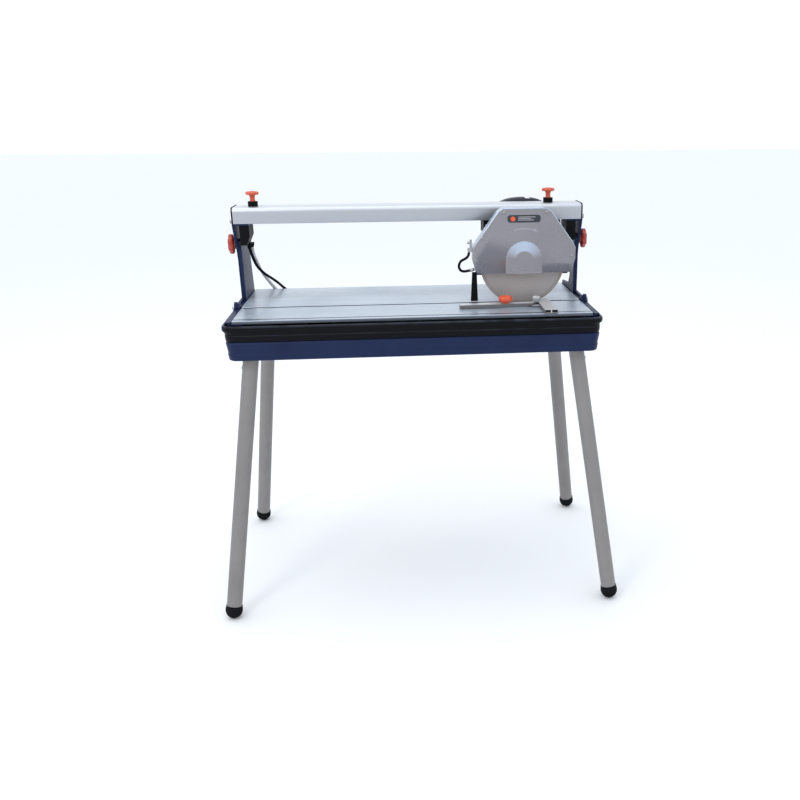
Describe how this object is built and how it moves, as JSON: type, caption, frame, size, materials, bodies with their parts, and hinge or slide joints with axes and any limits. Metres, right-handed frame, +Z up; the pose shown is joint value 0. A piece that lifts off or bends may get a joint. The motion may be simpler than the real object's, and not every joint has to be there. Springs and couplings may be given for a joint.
{
  "type": "tile cutter",
  "caption": "Bridge tile cutter: a guarded blade and motor slide along a tilting rail above a slotted table, over a water tub on splayed legs.",
  "frame": {"origin": "on the floor below the middle of the four feet", "axes": "+X along the rail towards the parked head, +Y from the blade side to the motor side, +Z up"},
  "size_m": [0.929, 0.584, 0.9303],
  "materials": {
    "blue_paint": "satin enamel",
    "black_plastic": "fine moulded texture",
    "black_rubber": "matt rubber",
    "anodised_aluminium": "satin anodised, ribbed lengthwise",
    "grey_tube": "satin grey powder coat",
    "silver_paint": "silver paint",
    "bright_steel": "zinc plated",
    "diamond_disc": "ground steel with grit rim",
    "copper_winding": "varnished winding and laminations",
    "orange_plastic": "moulded gloss",
    "clear_hose": "milky clear tube"
  },
  "bodies": {
    "stand": {"stand_frame": "blue_paint", "leg_front_left": "grey_tube", "leg_front_right": "grey_tube", "leg_rear_left": "grey_tube", "leg_rear_right": "grey_tube", "foot_front_left": "black_rubber", "foot_front_right": "black_rubber", "foot_rear_left": "black_rubber", "foot_rear_right": "black_rubber", "water_tub": "black_plastic", "table_front": "anodised_aluminium", "table_rear": "anodised_aluminium", "table_end_bar_left": "blue_paint", "table_end_bar_right": "blue_paint", "pivot_bolt_left": "bright_steel", "pivot_bolt_right": "bright_steel", "pump": "black_plastic", "pump_cable": "black_rubber", "water_hose": "clear_hose"},
    "bevel_frame": {"bevel_arm_left": "blue_paint", "bevel_arm_right": "blue_paint", "rail_mount_left": "black_plastic", "rail_mount_right": "black_plastic", "guide_rail": "anodised_aluminium", "rail_cap_left": "black_rubber", "rail_cap_right": "black_rubber", "knob_collar_left": "black_rubber", "knob_collar_right": "black_rubber"},
    "cutting_head": {"carriage": "black_plastic", "motor_housing": "black_plastic", "motor_end_shield": "silver_paint", "fan_cover": "black_plastic", "motor_stator": "copper_winding", "front_bearing": "bright_steel", "guard_cover": "silver_paint", "guard_back": "black_plastic", "splash_flap": "black_rubber", "guard_hose": "black_rubber", "hose_clip": "bright_steel", "handle": "black_rubber", "switch_box": "black_plastic"},
    "spindle": {"motor_rotor": "bright_steel", "blade": "diamond_disc", "blade_flange_inner": "bright_steel", "blade_clamp": "bright_steel"},
    "rollers_left": {"roller_front_left": "bright_steel", "roller_rear_left": "bright_steel"},
    "rollers_right": {"roller_front_right": "bright_steel", "roller_rear_right": "bright_steel"},
    "switch_rocker": {"switch_rocker": "orange_plastic"},
    "stop_knob_left": {"stop_knob_left": "orange_plastic"},
    "stop_knob_right": {"stop_knob_right": "orange_plastic"},
    "star_knob_left": {"star_knob_left": "orange_plastic", "star_stud_left": "bright_steel"},
    "star_knob_right": {"star_knob_right": "orange_plastic", "star_stud_right": "bright_steel"},
    "fence_carrier": {"fence_arm": "silver_paint"},
    "fence_bar": {"fence_bar": "anodised_aluminium"},
    "fence_thumb_screw": {"fence_thumb_screw": "bright_steel"},
    "fence_knob": {"fence_knob": "orange_plastic"}
  },
  "joints": [
    {"name": "bevel_tilt", "type": "hinge", "parent": "stand", "child": "bevel_frame", "pos_m": [0, -0.047, 0.68], "axis": [1, 0, 0], "range_deg": [0, 45]},
    {"name": "head_slide", "type": "slide", "parent": "bevel_frame", "child": "cutting_head", "axis": [1, 0, 0], "range_m": [-0.53, 0]},
    {"name": "blade_spin", "type": "hinge", "parent": "cutting_head", "child": "spindle", "pos_m": [0.256, -0.047, 0.774], "axis": [0, 1, 0], "continuous": true},
    {"name": "rollers_left_spin", "type": "hinge", "parent": "cutting_head", "child": "rollers_left", "pos_m": [0.211, 0.06, 0.8748], "axis": [0, 1, 0], "continuous": true},
    {"name": "rollers_right_spin", "type": "hinge", "parent": "cutting_head", "child": "rollers_right", "pos_m": [0.32, 0.06, 0.8748], "axis": [0, 1, 0], "continuous": true},
    {"name": "switch_rock", "type": "hinge", "parent": "cutting_head", "child": "switch_rocker", "pos_m": [0.277, 0.1544, 0.84], "axis": [1, 0, 0], "range_deg": [0, 11.5]},
    {"name": "stop_knob_left_turn", "type": "hinge", "parent": "bevel_frame", "child": "stop_knob_left", "pos_m": [-0.363, 0.06, 0.9], "axis": [0, 0, 1], "continuous": true},
    {"name": "stop_knob_right_turn", "type": "hinge", "parent": "bevel_frame", "child": "stop_knob_right", "pos_m": [0.332, 0.06, 0.9], "axis": [0, 0, 1], "continuous": true},
    {"name": "star_knob_left_turn", "type": "hinge", "parent": "stand", "child": "star_knob_left", "pos_m": [-0.42, 0.058, 0.811], "axis": [1, 0, 0], "continuous": true},
    {"name": "star_knob_right_turn", "type": "hinge", "parent": "bevel_frame", "child": "star_knob_right", "pos_m": [0.42, 0.058, 0.811], "axis": [1, 0, 0], "continuous": true},
    {"name": "fence_slide", "type": "slide", "parent": "stand", "child": "fence_carrier", "axis": [1, 0, 0], "range_m": [-0.66, 0.075]},
    {"name": "fence_angle", "type": "hinge", "parent": "fence_carrier", "child": "fence_bar", "pos_m": [0.281, -0.101, 0.685], "axis": [0, 0, 1], "range_deg": [-3, 42]},
    {"name": "fence_thumb_screw_turn", "type": "hinge", "parent": "fence_carrier", "child": "fence_thumb_screw", "pos_m": [0.281, -0.101, 0.69], "axis": [0, 0, 1], "continuous": true},
    {"name": "fence_knob_turn", "type": "hinge", "parent": "fence_bar", "child": "fence_knob", "pos_m": [0.20931, -0.10876, 0.69], "axis": [0, 0, 1], "continuous": true}
  ],
  "couplings": [
    {"joint": "rollers_left_spin", "follows": "head_slide", "rad_per_m": 90.909},
    {"joint": "rollers_right_spin", "follows": "head_slide", "rad_per_m": 90.909}
  ]
}
